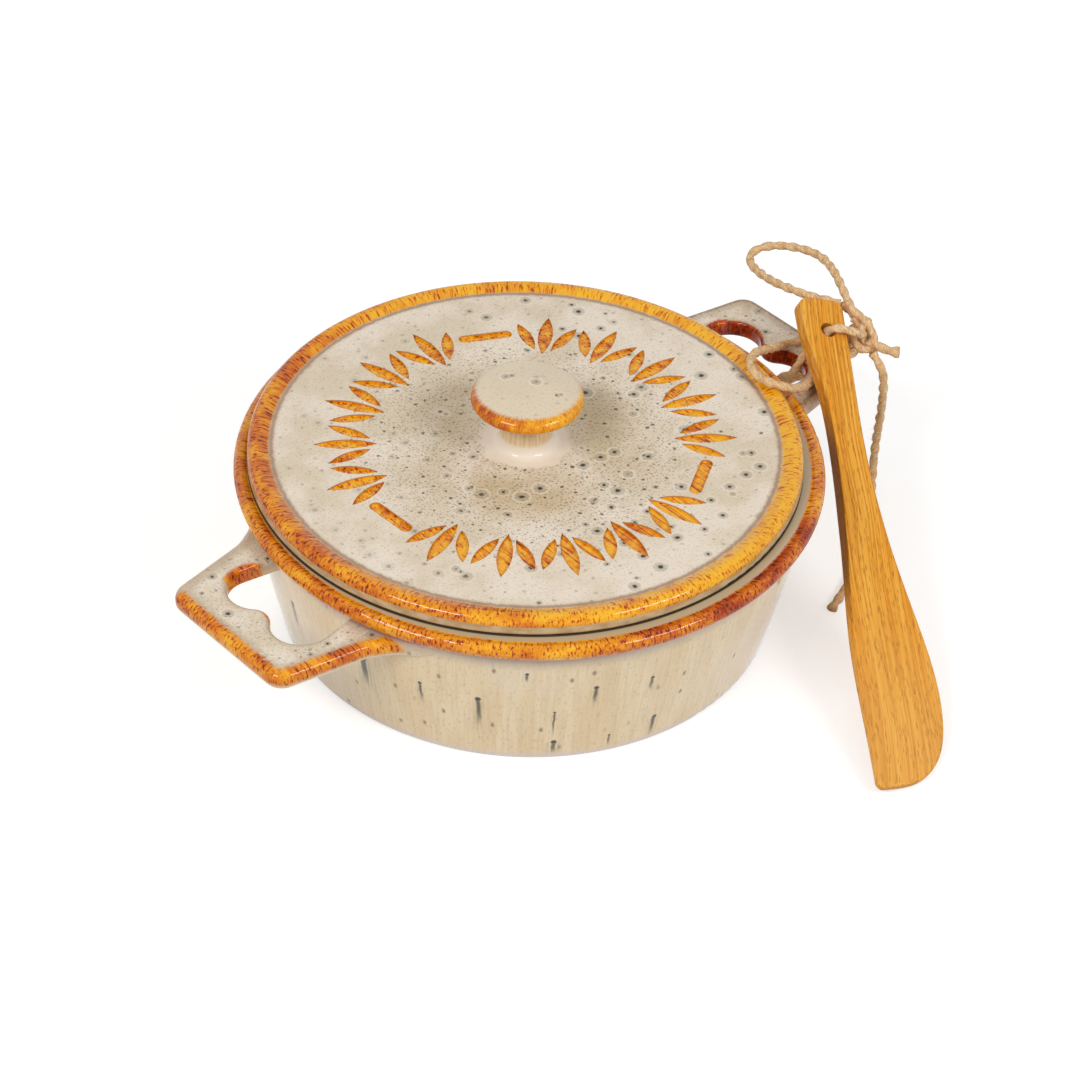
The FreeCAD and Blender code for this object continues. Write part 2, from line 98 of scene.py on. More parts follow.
class Finish:
    """One material, built a node at a time. Each call gives back the new node's output."""

    def __init__(self, name):
        self.material = bpy.data.materials.new(name)
        self.material.use_nodes = True
        self.tree = self.material.node_tree
        self.shader = self.tree.nodes["Principled BSDF"]
        source = self.tree.nodes.new("ShaderNodeTexCoord")
        self.facing = source.outputs["Normal"]
        in_millimetres = self.add("ShaderNodeVectorMath", [source.outputs["Object"]], operation="SCALE")
        in_millimetres.inputs["Scale"].default_value = 1000
        self.place = in_millimetres.outputs[0]
        self.x, self.y, self.z = self.parts(self.place)

    def add(self, kind, inputs=(), **settings):
        node = self.tree.nodes.new(kind)
        for name, value in settings.items():
            setattr(node, name, value)
        for index, value in enumerate(inputs):
            self.feed(node.inputs[index], value)
        return node

    def feed(self, socket, value):
        if isinstance(value, bpy.types.NodeSocket):
            self.tree.links.new(value, socket)
        else:
            socket.default_value = value

    def calc(self, operation, *values):
        return self.add("ShaderNodeMath", values, operation=operation).outputs[0]

    def plus(self, first, second):
        return self.calc("ADD", first, second)

    def minus(self, first, second):
        return self.calc("SUBTRACT", first, second)

    def times(self, first, second):
        return self.calc("MULTIPLY", first, second)

    def scaled(self, value, gain, offset):
        """value times gain, plus offset."""
        return self.calc("MULTIPLY_ADD", value, gain, offset)

    def swing(self, noise, spread):
        """A noise of 0 to 1 as a shift of up to half the spread to each side."""
        return self.scaled(noise, spread, -spread / 2)

    def length(self, across, along):
        return self.calc("SQRT", self.plus(self.times(across, across), self.times(along, along)))

    def gap_to(self, x, y):
        """Distance in plan from a point, in millimetres."""
        return self.length(self.minus(self.x, x), self.minus(self.y, y))

    def towards(self, turn, degrees):
        """1 in one direction round the piece, falling to -1 in the opposite one."""
        return self.calc("COSINE", self.minus(turn, math.radians(degrees)))

    def parts(self, vector):
        return self.add("ShaderNodeSeparateXYZ", [vector]).outputs[:]

    def vector(self, x, y, z=0.0):
        return self.add("ShaderNodeCombineXYZ", [x, y, z]).outputs[0]

    def stretch(self, vector, x, y, z):
        return self.add("ShaderNodeVectorMath", [vector, (x, y, z)], operation="MULTIPLY").outputs[0]

    def rise(self, value, low, high):
        """0 below low, 1 above high and a smooth step between them. It falls if low is the larger."""
        if low > high:
            return self.minus(1.0, self.rise(value, high, low))
        node = self.add("ShaderNodeMapRange", [value, low, high], interpolation_type="SMOOTHSTEP")
        return node.outputs[0]

    def band(self, value, low, high, soft):
        """1 between low and high, fading over soft on each side."""
        return self.both(self.rise(value, low - soft, low + soft),
                         self.rise(value, high + soft, high - soft))

    def both(self, *masks):
        result = masks[0]
        for mask in masks[1:]:
            result = self.times(result, mask)
        return result

    def either(self, *masks):
        result = masks[0]
        for mask in masks[1:]:
            result = self.calc("MAXIMUM", result, mask)
        return result

    def less(self, mask, other):
        """mask where other isn't."""
        return self.times(mask, self.minus(1.0, other))

    def mix(self, share, first, second):
        """The first colour, with a share of the second over it."""
        node = self.add("ShaderNodeMix", data_type="RGBA")
        self.feed(node.inputs[0], share)
        self.feed(node.inputs[6], first)
        self.feed(node.inputs[7], second)
        return node.outputs[2]

    def lay(self, below, above, mask, strength):
        """The colour below, with the one above laid over it inside a mask, at a strength of 0 to 1."""
        return self.mix(self.times(mask, strength), below, above)

    def noise(self, vector, scale, detail=2.0, roughness=0.5):
        node = self.add("ShaderNodeTexNoise")
        self.feed(node.inputs["Vector"], vector)
        self.feed(node.inputs["Scale"], scale)
        self.feed(node.inputs["Detail"], detail)
        self.feed(node.inputs["Roughness"], roughness)
        return node.outputs["Fac"]

    def cells(self, vector, scale, flat=True):
        """Distance to the nearest of a scatter of points, and that point's own random colour parts."""
        node = self.add("ShaderNodeTexVoronoi", voronoi_dimensions="2D" if flat else "3D")
        self.feed(node.inputs["Vector"], vector)
        self.feed(node.inputs["Scale"], scale)
        return node.outputs["Distance"], self.parts(node.outputs["Color"])

    def ramp(self, value, stops):
        node = self.add("ShaderNodeValToRGB", [value])
        band = node.color_ramp
        while len(band.elements) < len(stops):
            band.elements.new(1.0)
        for element, (position, colour) in zip(band.elements, stops):
            element.position = position
            element.color = colour
        return node.outputs[0]

    def bump(self, height, distance):
        """Small relief, its height times a distance in metres."""
        node = self.add("ShaderNodeBump")
        self.feed(node.inputs["Strength"], 1.0)
        self.feed(node.inputs["Distance"], distance)
        self.feed(node.inputs["Height"], height)
        self.feed(self.shader.inputs["Normal"], node.outputs[0])

    def paint(self, colour, roughness, specular=0.32):
        self.feed(self.shader.inputs["Base Color"], colour)
        self.feed(self.shader.inputs["Roughness"], roughness)
        self.shader.inputs["Specular IOR Level"].default_value = specular

    def dress(self, thing):
        """Puts the material in every slot of a piece."""
        if not thing.material_slots:
            thing.data.materials.append(self.material)
        for slot in thing.material_slots:
            slot.material = self.material


CREAM = tint(221, 204, 178)
CREAM_PALE = tint(236, 222, 203)
CREAM_DEEP = tint(190, 168, 134)
GRIT = tint(160, 140, 104)
PEPPER = tint(76, 64, 44)
CRYSTAL = tint(26, 30, 26)
CRYSTAL_HALO = tint(150, 141, 120)
CRYSTAL_OUTLINE = tint(128, 116, 94)
AMBER_STOPS = [
    (0.0, tint(244, 182, 34)), (0.22, tint(234, 154, 12)), (0.42, tint(214, 114, 0)),
    (0.6, tint(184, 70, 0)), (0.8, tint(138, 36, 0)), (1.0, tint(88, 20, 2)),
]
CREVICE_SHADE = tint(52, 40, 26)
BARE_CLAY = tint(196, 176, 146)
WALL_WARM = tint(232, 207, 166)
WALL_PALE = tint(240, 220, 184)
WALL_STREAK = tint(212, 186, 146)
WALL_MOTTLE = tint(198, 170, 128)
RUN_BLUE = tint(40, 50, 54)
RUN_SMUDGE = tint(160, 148, 122)
RUN_FAINT = tint(96, 88, 70)
LAVENDER_AND_SHADE = tint(178, 160, 150)
RIM_LILAC = tint(190, 142, 138)
FOOT_PALE = tint(222, 208, 206)
HANDLE_HALO = tint(186, 168, 140)
HANDLE_FAR_EDGE = tint(92, 66, 44)
DUST_PER_MM = 0.8
PEPPER_PER_MM = 0.24
CRYSTALS_PER_MM = 0.12
CRYSTAL_REACH = 8.3


def specked(finish, colour, crystal_share, pepper_share, spots=(), paler_cores=0.0):
    """Cream glaze with dust, pepper specks and ringed dark crystals, some of them at given spots."""
    warp = finish.noise(finish.place, 1.3, 2.0, 0.7)
    warped = finish.vector(finish.scaled(warp, 1.1, finish.x), finish.scaled(warp, -0.9, finish.y))
    grit = finish.rise(finish.noise(finish.place, 1.5, 3.0, 0.7), 0.5, 0.62)
    colour = finish.mix(finish.both(grit, pepper_share, 0.38), colour, GRIT)

    distance, chance = finish.cells(warped, DUST_PER_MM)
    dust = finish.both(finish.rise(distance, 0.27, 0.13), finish.rise(chance[0], 0.35, 0.4),
                       pepper_share)
    colour = finish.lay(colour, PEPPER, dust, 0.55)

    distance, chance = finish.cells(warped, PEPPER_PER_MM)
    reach = finish.calc("DIVIDE", distance, finish.scaled(chance[1], 0.9, 0.3))
    speck = finish.both(finish.rise(reach, 0.16, 0.09), finish.rise(chance[0], 0.45, 0.47),
                        pepper_share)
    colour = finish.lay(colour, PEPPER, speck, 0.85)

    distance, chance = finish.cells(warped, CRYSTALS_PER_MM)
    reach = finish.calc("DIVIDE", distance, finish.scaled(chance[1], 0.65, 0.35))
    chosen = finish.both(finish.rise(chance[0], 0.45, 0.47), crystal_share)
    for x, y, size in spots:
        gap = finish.calc("DIVIDE", finish.gap_to(x, y), size * CRYSTAL_REACH)
        gap = finish.scaled(warp, 0.12, gap)
        chosen = finish.either(chosen, finish.rise(gap, 0.5, 0.48))
        reach = finish.calc("MINIMUM", reach, gap)
    ring = finish.both(finish.band(reach, 0.3, 0.38, 0.04), chosen)
    halo = finish.both(finish.rise(reach, 0.28, 0.12), chosen)
    outline = finish.both(finish.band(reach, 0.225, 0.26, 0.025), chosen)
    core = finish.both(finish.rise(reach, 0.115, 0.07), chosen)
    colour = finish.lay(colour, CREAM_PALE, ring, 0.6)
    colour = finish.lay(colour, CRYSTAL_HALO, halo, 0.6)
    colour = finish.lay(colour, CRYSTAL_OUTLINE, outline, 0.4)
    colour = finish.lay(colour, CRYSTAL, core, 0.95)
    return finish.lay(colour, CRYSTAL_HALO, core, paler_cores)


def amber(finish, along, across, depth):
    """Thin glaze over an edge: gold to red-brown, ticked across the edge. depth darkens it."""
    streak_place = finish.vector(finish.times(along, 1.5), finish.times(across, 0.42))
    patch_place = finish.vector(finish.times(along, 0.09), finish.times(across, 0.12))
    streak = finish.noise(streak_place, 1.0, 3.0, 0.65)
    patch = finish.noise(patch_place, 1.0, 3.0, 0.6)
    ticks = finish.times(finish.rise(streak, 0.53, 0.62), 0.5)
    gleam = finish.times(finish.rise(streak, 0.47, 0.36), 0.14)
    tone = finish.plus(finish.scaled(patch, 1.15, -0.34), finish.minus(ticks, gleam))
    return finish.ramp(finish.plus(tone, depth), AMBER_STOPS)


def gloss(finish, bare):
    """Roughness of the glaze, which varies a little, and of the bare clay inside a mask."""
    glazed = finish.scaled(finish.noise(finish.place, 0.25, 2.0), 0.06, 0.04)
    return finish.plus(glazed, finish.times(bare, 0.6))


glaze = Finish("dish_glaze")
ring_radius = glaze.length(glaze.x, glaze.y)
turn = glaze.calc("ARCTAN2", glaze.y, glaze.x)
along_rim = glaze.times(turn, RIM_MIDDLE)
side_x = glaze.calc("ABSOLUTE", glaze.x)
side_y = glaze.calc("ABSOLUTE", glaze.y)


def on_wall(along_scale, height_scale):
    """A place on the unrolled wall, stretched for a pattern."""
    return glaze.vector(glaze.times(along_rim, along_scale), glaze.times(glaze.z, height_scale))


# The wall: fine streaks that run down, blue-grey drips, a lavender tint with painted shade below the rim
# and a pale foot.
streaks = glaze.noise(on_wall(0.8, 0.045), 1.0, 4.0, 0.6)
broad = glaze.noise(on_wall(0.11, 0.02), 1.0, 2.0)
mottle = glaze.noise(on_wall(1.1, 0.5), 1.0, 3.0, 0.7)
cloud = glaze.noise(glaze.place, 0.035, 2.0)
colour = glaze.mix(glaze.rise(broad, 0.35, 0.65), WALL_WARM, WALL_PALE)
colour = glaze.lay(colour, WALL_STREAK, glaze.rise(streaks, 0.56, 0.38), 0.35)
colour = glaze.lay(colour, WALL_MOTTLE, glaze.rise(mottle, 0.54, 0.66), 0.5)
colour = glaze.lay(colour, CREAM_PALE, glaze.rise(cloud, 0.45, 0.7), 0.3)
wander = glaze.swing(glaze.noise(glaze.vector(0.0, glaze.times(glaze.z, 0.3), turn), 1.0, 2.0), 1.0)
runs = 0.0
smudges = 0.0
for angle, height, dot_radius, tail_length in DRIPS:
    aside = glaze.plus(glaze.times(glaze.minus(turn, math.radians(angle)), WALL_RADIUS), wander)
    down = glaze.minus(height, glaze.z)
    width = glaze.calc("ABSOLUTE", aside)
    dot = glaze.rise(glaze.length(aside, down), dot_radius * 1.25, dot_radius * 0.6)
    tail = glaze.both(glaze.rise(width, dot_radius * 0.95, dot_radius * 0.3), glaze.rise(down, 0.0, 0.8),
                      glaze.rise(down, tail_length, tail_length * 0.35))
    smudge = glaze.both(glaze.rise(width, dot_radius * 3.2, 0.0), glaze.rise(down, -1.5, 3.0),
                        glaze.rise(down, tail_length * 1.3, tail_length * 0.6))
    runs = glaze.either(runs, dot, glaze.times(tail, 0.85))
    smudges = glaze.either(smudges, smudge)
smudges = glaze.both(smudges, glaze.rise(streaks, 0.62, 0.4))
colour = glaze.lay(colour, RUN_SMUDGE, smudges, 0.5)
colour = glaze.lay(colour, RUN_BLUE, runs, 0.95)
distance, chance = glaze.cells(on_wall(0.13, 0.075), 1.0)
faint = glaze.both(glaze.rise(distance, 0.12, 0.02), glaze.rise(chance[0], 0.5, 0.9))
colour = glaze.lay(colour, RUN_FAINT, faint, 0.75)
# Below the rim a lavender band: partly the glaze's own tint, partly painted shade under the rim's bead.
tint_and_shade_under_rim = glaze.rise(glaze.plus(glaze.z, glaze.swing(streaks, 6.0)),
                       RIM_UNDERSIDE - 7.9, RIM_UNDERSIDE - 2.1)
colour = glaze.lay(colour, LAVENDER_AND_SHADE, tint_and_shade_under_rim, 0.72)
foot_line = glaze.rise(glaze.plus(glaze.z, glaze.times(cloud, 2.0)), 4.4, 2.0)
colour = glaze.lay(colour, FOOT_PALE, foot_line, 0.75)


def beyond(normal, offset):
    """How far a place lies outside a straight side of its handle, seen in plan."""
    return glaze.minus(glaze.plus(glaze.times(side_x, normal[0]), glaze.times(side_y, normal[1])), offset)


# The handles: cream with specks on the flats, amber over the outer edges and round the finger hole.
side_offset = HANDLE_SIDE_NORMAL[0] * HANDLE_REACH + HANDLE_SIDE_NORMAL[1] * HANDLE_END_HALF_WIDTH
end_gap = glaze.minus(side_x, HANDLE_REACH)
flank_gap = glaze.calc("SMOOTH_MIN", beyond(HANDLE_SIDE_NORMAL, side_offset),
                       beyond(HANDLE_FLARE_NORMAL, HANDLE_FLARE_OFFSET), 4.0)
edge_gap = glaze.calc("SMOOTH_MAX", end_gap, flank_gap, 5.0)
end_over_flank = glaze.minus(end_gap, flank_gap)
at_end = glaze.rise(end_over_flank, -0.5, 0.5)
along_edge = glaze.plus(glaze.both(at_end, glaze.y), glaze.less(glaze.x, at_end))
fray = glaze.noise(glaze.place, 0.7, 3.0, 0.65)
fine_fray = glaze.swing(fray, 2.0)
edge_line = glaze.plus(edge_gap, glaze.swing(fray, 3.4))
lobe_gap = glaze.length(glaze.minus(side_x, LOBE_AT[0]), glaze.minus(side_y, LOBE_AT[1]))
bump_gap = glaze.length(glaze.minus(side_x, BUMP_AT), glaze.y)
lobe_line = glaze.plus(lobe_gap, fine_fray)
bump_line = glaze.plus(bump_gap, fine_fray)
on_handle = glaze.both(glaze.rise(ring_radius, NECK_RADIUS + 1.3, NECK_RADIUS + 2.5),
                       glaze.rise(glaze.z, HANDLE_TOP + 1.6, HANDLE_TOP + 1.0))
on_top = glaze.both(on_handle, glaze.rise(glaze.z, HANDLE_TOP - 2.8, HANDLE_TOP - 1.2))

lower_side = glaze.either(glaze.rise(glaze.y, 3.0, -3.0), glaze.rise(end_over_flank, -1.0, 2.0))
edge_share = glaze.both(glaze.rise(glaze.x, 0.0, -1.0), lower_side)
edge_break = glaze.both(glaze.rise(edge_line, -4.0, -2.4),
                        glaze.rise(glaze.z, HANDLE_TOP - 4.6, HANDLE_TOP - 3.0),
                        glaze.scaled(edge_share, 0.9, 0.1))
bump_break = glaze.both(glaze.band(bump_line, 4.2, 7.0, 0.8),
                        glaze.rise(side_x, BUMP_AT - 2.6, BUMP_AT - 4.2), glaze.rise(side_y, 6.0, 4.0))
lobe_break = glaze.both(glaze.rise(lobe_line, LOBE_RADIUS + 2.4, LOBE_RADIUS + 1.2),
                        glaze.rise(glaze.y, 13.5, 16.0), glaze.rise(side_x, 102.5, 100.5),
                        glaze.rise(ring_radius, NECK_RADIUS + 2.1, NECK_RADIUS + 4.6))
# The far handle's finger hole wall: amber glaze, made darker below by painted shade.
far_hole = glaze.both(glaze.rise(lobe_line, LOBE_RADIUS + 1.8, LOBE_RADIUS + 0.8),
                      glaze.rise(glaze.x, 96.0, 99.0),
                      glaze.rise(glaze.z, HANDLE_TOP + 0.2, HANDLE_TOP - 0.4))
hole_break = glaze.either(bump_break, lobe_break, far_hole)
halo = glaze.either(glaze.rise(edge_line, -6.0, -3.4),
                    glaze.rise(lobe_gap, LOBE_RADIUS + 3.0, LOBE_RADIUS + 0.5))
halo = glaze.both(halo, on_handle, glaze.rise(glaze.z, HANDLE_TOP - 4.0, HANDLE_TOP - 2.0))
far_edge = glaze.both(glaze.band(edge_line, -2.6, -1.4, 0.5), glaze.rise(glaze.x, 60.0, 70.0),
                      glaze.rise(glaze.z, HANDLE_TOP - 2.4, HANDLE_TOP - 1.6), on_handle)
flat_colour = glaze.mix(glaze.rise(glaze.noise(glaze.place, 0.09, 3.0), 0.4, 0.65), CREAM, CREAM_PALE)
flat_colour = specked(glaze, flat_colour, on_top, glaze.times(on_top, 0.6))
flat_colour = glaze.lay(flat_colour, HANDLE_HALO, halo, 0.6)
colour = glaze.mix(on_top, colour, flat_colour)
colour = glaze.lay(colour, HANDLE_FAR_EDGE, far_edge, 0.6)

# The rim: amber from the land's outer edge over the bead and down to its underside.
rim_fray = glaze.swing(glaze.noise(glaze.vector(glaze.times(along_rim, 0.5), 0.0), 1.0, 2.0), 1.6)
rim_height = glaze.plus(glaze.z, rim_fray)
rim_break = glaze.both(glaze.rise(glaze.plus(ring_radius, rim_fray), RIM_INNER - 0.3, RIM_INNER + 0.3),
                       glaze.rise(rim_height, RIM_UNDERSIDE - 0.5, RIM_UNDERSIDE + 0.4))
rim_edge = glaze.both(glaze.band(rim_height, RIM_UNDERSIDE - 2.6, RIM_UNDERSIDE + 0.2, 0.8),
                      glaze.rise(ring_radius, NECK_RADIUS - 2.9, NECK_RADIUS - 1.9),
                      glaze.rise(ring_radius, NECK_RADIUS + 2.5, NECK_RADIUS + 1.5))
front_right = glaze.rise(glaze.towards(turn, -88), 0.82, 0.95)
right_part = glaze.rise(glaze.towards(turn, -48), 0.6, 0.9)
left_part = glaze.rise(glaze.towards(turn, 165), 0.2, 1.0)
depth = glaze.plus(glaze.times(front_right, 0.30), glaze.scaled(left_part, 0.16, -0.04))
depth = glaze.plus(depth, glaze.times(right_part, 0.10))
depth = glaze.plus(glaze.both(depth, rim_break), glaze.times(glaze.less(1.0, rim_break), 0.10))
# Painted shade: on the far handle the amber round the finger hole is made darker.
depth = glaze.plus(depth, glaze.both(glaze.rise(glaze.x, 60.0, 70.0), hole_break, on_handle, 0.4))
along = glaze.plus(glaze.both(along_rim, rim_break), glaze.less(along_edge, rim_break))
amber_colour = amber(glaze, along, glaze.minus(ring_radius, glaze.z), depth)
handle_break = glaze.both(glaze.either(edge_break, hole_break), on_handle)
colour = glaze.lay(colour, RIM_LILAC, rim_edge, 0.65)
colour = glaze.mix(glaze.either(rim_break, handle_break), colour, amber_colour)

# Inside the rim and under the lid the glaze is plain cream, with a dark line of painted shade in the
# crevice at the lid's edge, and the foot ring stands bare.
inside = glaze.both(glaze.rise(ring_radius, RIM_INNER + 0.5, RIM_INNER - 0.5),
                    glaze.rise(glaze.z, FLOOR_TOP - 0.5, FLOOR_TOP + 0.5))
outer_wall = glaze.both(glaze.rise(glaze.z, HANDLE_TOP, HANDLE_TOP - 1.0),
                        glaze.rise(ring_radius, WALL_HEART - 0.3, WALL_HEART + 0.3))
colour = glaze.mix(glaze.less(inside, outer_wall), colour, CREAM_DEEP)
# Painted shade: a dark line on the land just outside the lid's edge.
gallery = glaze.gap_to(*LID_CENTRE)
crevice_shade = glaze.both(glaze.rise(gallery, LID_EDGE_RADIUS + 0.3, LID_EDGE_RADIUS - 0.1),
                    glaze.rise(glaze.z, LAND_HEIGHT - 1.0, LAND_HEIGHT - 0.4),
                    glaze.rise(gallery, MOUTH_RADIUS - 1.5, MOUTH_RADIUS - 0.5))
colour = glaze.lay(colour, CREVICE_SHADE, crevice_shade, 0.9)
bare_foot = glaze.rise(glaze.z, 0.5, 0.2)
colour = glaze.mix(bare_foot, colour, BARE_CLAY)
glaze.paint(colour, gloss(glaze, bare_foot))
ripple = glaze.noise(glaze.place, 0.16, 2.0)
glaze.bump(glaze.plus(glaze.times(ripple, 0.5), glaze.times(streaks, 0.2)), 0.00014)
glaze.dress(dish)

# Lid: a flat stoneware panel with a low rolled ring and a turned knob, and a ring of sprigs and dashes
# pressed into the clay. The glaze stays cream and specked on the panel and breaks to amber on the
# ring, round the knob's edge and in the sunk marks.
LID_UNDERSIDE = 53.15
FLANGE_BARE = 49.0
RING_INNER = 77.0
RING_MIDDLE = 80.0
RING_UNDERSIDE = 56.3
PANEL_TOP = 57.75
MARKS_INNER = 42.0
MARKS_OUTER = 66.5
KNOB_RADIUS = 16.9
KNOB_UNDERSIDE = 70.9
NECK_FOOT = 60.0
# Large crystals on the panel and on the knob's top: where each is in plan, and its size.
PANEL_SPOTS = [
    (33.8, -8.8, 0.75), (10.5, -11.4, 0.4), (16.3, -19.3, 0.8), (12.6, -29.4, 0.9), (-3.8, -32.3, 0.85),
    (0.8, -22.1, 0.4), (-26.7, -14.0, 0.4), (-37.4, -5.7, 0.45), (-10.0, 27.3, 0.5), (0.5, 28.4, 0.4),
    (55.3, 11.9, 0.5), (-55.0, -30.0, 0.8), (-20.0, -48.0, 0.6), (46.0, -44.0, 0.7), (30.0, -56.0, 0.6),
]
KNOB_SPOTS = [(-0.9, 10.9, 0.8), (4.1, 2.9, 0.85), (5.8, -6.2, 0.5)]
PANEL_OLIVE = tint(201, 179, 140)
POOL_PALE = tint(238, 226, 210)
KNOB_PALE = tint(226, 209, 181)
SKIRT_DEEP = tint(184, 158, 118)
SKIRT_PALE = tint(208, 188, 152)
NECK_PALE = tint(226, 200, 158)
NECK_STREAK = tint(206, 172, 120)
RING_BORDER = tint(158, 122, 110)
MARK_EDGE = tint(150, 104, 74)

cover = Finish("lid_glaze")
lid_x = cover.minus(cover.x, LID_CENTRE[0])
lid_y = cover.minus(cover.y, LID_CENTRE[1])
lid_radius = cover.gap_to(*LID_CENTRE)
lid_turn = cover.calc("ARCTAN2", lid_y, lid_x)
along_ring = cover.times(lid_turn, RING_MIDDLE)

# The panel: cream, more olive and more specked round the knob, with a pale pool at the knob's foot.
cloud = cover.noise(cover.place, 0.06, 3.0)
olive = cover.both(cover.band(lid_radius, 17.0, 34.0, 9.0),
                   cover.rise(cover.noise(cover.place, 0.045, 2.0), 0.3, 0.6))
outer_pale = cover.both(cover.rise(lid_radius, 56.0, 72.0), cover.rise(cloud, 0.35, 0.6))
pool_line = cover.plus(lid_radius, cover.swing(cover.noise(cover.place, 0.22, 3.0), 8.0))
pool = cover.both(cover.rise(pool_line, 15.4, 11.5), cover.rise(cover.z, NECK_FOOT + 4.0, NECK_FOOT))
panel = cover.mix(cover.rise(cloud, 0.38, 0.66), CREAM, CREAM_PALE)
panel = cover.lay(panel, PANEL_OLIVE, olive, 0.9)
panel = cover.lay(panel, CREAM_PALE, outer_pale, 0.6)
panel = cover.lay(panel, POOL_PALE, pool, 0.75)
to_right = cover.rise(cover.minus(cover.times(lid_x, 0.73), cover.times(lid_y, 0.68)), -50.0, 10.0)
off_neck = cover.either(cover.rise(lid_radius, 11.5, 14.0),
                        cover.rise(cover.z, KNOB_UNDERSIDE + 3.1, KNOB_UNDERSIDE + 4.1))
below_knob = cover.rise(cover.z, KNOB_UNDERSIDE + 1.1, KNOB_UNDERSIDE - 0.9)
crystal_zone = cover.both(cover.scaled(to_right, 0.7, 0.3), cover.rise(lid_radius, 14.0, 17.0))
pepper_zone = cover.both(cover.scaled(cover.rise(lid_radius, 62.0, 38.0), 0.65, 0.35), off_neck,
                         cover.rise(pool, 0.8, 0.3), cover.scaled(below_knob, 0.8, 0.2))
panel = specked(cover, panel, crystal_zone, pepper_zone, PANEL_SPOTS)
knob_cream = cover.mix(cover.rise(cloud, 0.4, 0.6), CREAM, KNOB_PALE)
knob_head = specked(cover, knob_cream, 0.0, cover.times(off_neck, 0.25), KNOB_SPOTS, paler_cores=0.5)
panel = cover.mix(cover.rise(cover.z, KNOB_UNDERSIDE + 2.1, KNOB_UNDERSIDE + 2.7), panel, knob_head)
on_panel = cover.both(cover.rise(lid_radius, RING_INNER - 0.5, RING_INNER - 2.5),
                      cover.rise(cover.z, RING_UNDERSIDE - 0.3, RING_UNDERSIDE + 0.3))

# The thin places: the ring, the sunk marks and the knob's edge, each with its own line of break.
ring_fray = cover.swing(cover.noise(cover.vector(cover.times(along_ring, 0.45), 0.0), 1.0, 2.0), 1.8)
ring_line = cover.plus(lid_radius, ring_fray)
ring_height = cover.plus(cover.z, cover.times(ring_fray, 0.4))
ring_break = cover.both(cover.rise(ring_line, RING_INNER - 0.4, RING_INNER + 0.6),
                        cover.rise(ring_height, RING_UNDERSIDE - 0.4, RING_UNDERSIDE + 0.3))
ring_border = cover.both(cover.band(ring_line, RING_INNER - 1.3, RING_INNER - 0.2, 0.4),
                         cover.rise(cover.z, RING_UNDERSIDE + 0.2, RING_UNDERSIDE + 0.7))
in_marks = cover.both(cover.band(lid_radius, MARKS_INNER, MARKS_OUTER, 0.5),
                      cover.rise(cover.z, RING_UNDERSIDE - 0.3, RING_UNDERSIDE + 0.1))
sunk = cover.both(cover.rise(cover.z, PANEL_TOP - 0.30, PANEL_TOP - 0.65), in_marks)
mark_edge = cover.both(cover.rise(cover.z, PANEL_TOP - 0.03, PANEL_TOP - 0.25), in_marks)
knob_fray = cover.noise(cover.vector(cover.times(lid_turn, 16.0), 0.0), 0.9, 3.0, 0.7)
knob_line = cover.plus(cover.plus(lid_radius, cover.swing(knob_fray, 3.0)),
                       cover.times(cover.towards(lid_turn, -133), 1.5))
knob_break = cover.both(cover.rise(knob_line, KNOB_RADIUS - 2.2, KNOB_RADIUS - 0.4),
                        cover.rise(cover.z, KNOB_UNDERSIDE - 0.3, KNOB_UNDERSIDE + 0.3),
                        cover.rise(lid_radius, 22.0, 20.0))
left_back = cover.times(cover.rise(cover.towards(lid_turn, 150), -0.3, 0.9), 0.30)
ring_depth = cover.minus(left_back, 0.15)
mark_depth = cover.times(cover.minus(cover.noise(cover.place, 0.45, 3.0, 0.6), 0.53), 1.2)
depth = cover.plus(cover.less(ring_depth, sunk), cover.both(sunk, mark_depth))
depth = cover.plus(depth, cover.times(knob_break, 0.05))
along = cover.plus(cover.less(along_ring, sunk), cover.times(sunk, cover.x))
across = cover.plus(cover.minus(lid_radius, cover.z), cover.both(sunk, cover.y))
amber_colour = amber(cover, along, across, depth)

# The skirt below the ring, the neck's upright streaks, and bare clay under the flange.
skirt_place = cover.vector(cover.times(along_ring, 0.5), cover.z)
skirt = cover.mix(cover.rise(cover.noise(skirt_place, 0.4, 3.0), 0.35, 0.65), SKIRT_DEEP, SKIRT_PALE)
above_panel = cover.rise(cover.z, PANEL_TOP + 0.85, PANEL_TOP + 2.25)
colour = cover.mix(cover.either(on_panel, above_panel), skirt, panel)
on_neck = cover.both(cover.rise(cover.z, NECK_FOOT + 0.5, NECK_FOOT + 2.5),
                     cover.rise(cover.z, KNOB_UNDERSIDE + 0.7, KNOB_UNDERSIDE + 0.1))
neck_place = cover.vector(cover.times(lid_turn, 9.0), cover.times(cover.z, 0.08))
neck_streaks = cover.rise(cover.noise(neck_place, 1.0, 3.0), 0.6, 0.4)
neck = cover.mix(neck_streaks, NECK_PALE, NECK_STREAK)
colour = cover.lay(colour, neck, on_neck, 0.8)
colour = cover.lay(colour, RING_BORDER, ring_border, 0.7)
colour = cover.lay(colour, MARK_EDGE, mark_edge, 0.75)
colour = cover.mix(cover.either(ring_break, sunk, knob_break), colour, amber_colour)
# Painted shade: a dark line along the bottom of the lid's edge, where it sits on the dish.
lid_edge_shade = cover.both(cover.rise(cover.z, LID_UNDERSIDE + 0.55, LID_UNDERSIDE + 0.15),
                        cover.rise(lid_radius, RING_MIDDLE, RING_MIDDLE + 1.0))
colour = cover.lay(colour, CREVICE_SHADE, lid_edge_shade, 0.85)
bare_flange = cover.rise(cover.z, FLANGE_BARE + 0.2, FLANGE_BARE - 0.1)
colour = cover.mix(bare_flange, colour, BARE_CLAY)
cover.paint(colour, gloss(cover, bare_flange))
cover.bump(cover.noise(cover.place, 0.16, 2.0), 0.00008)
cover.dress(lid)

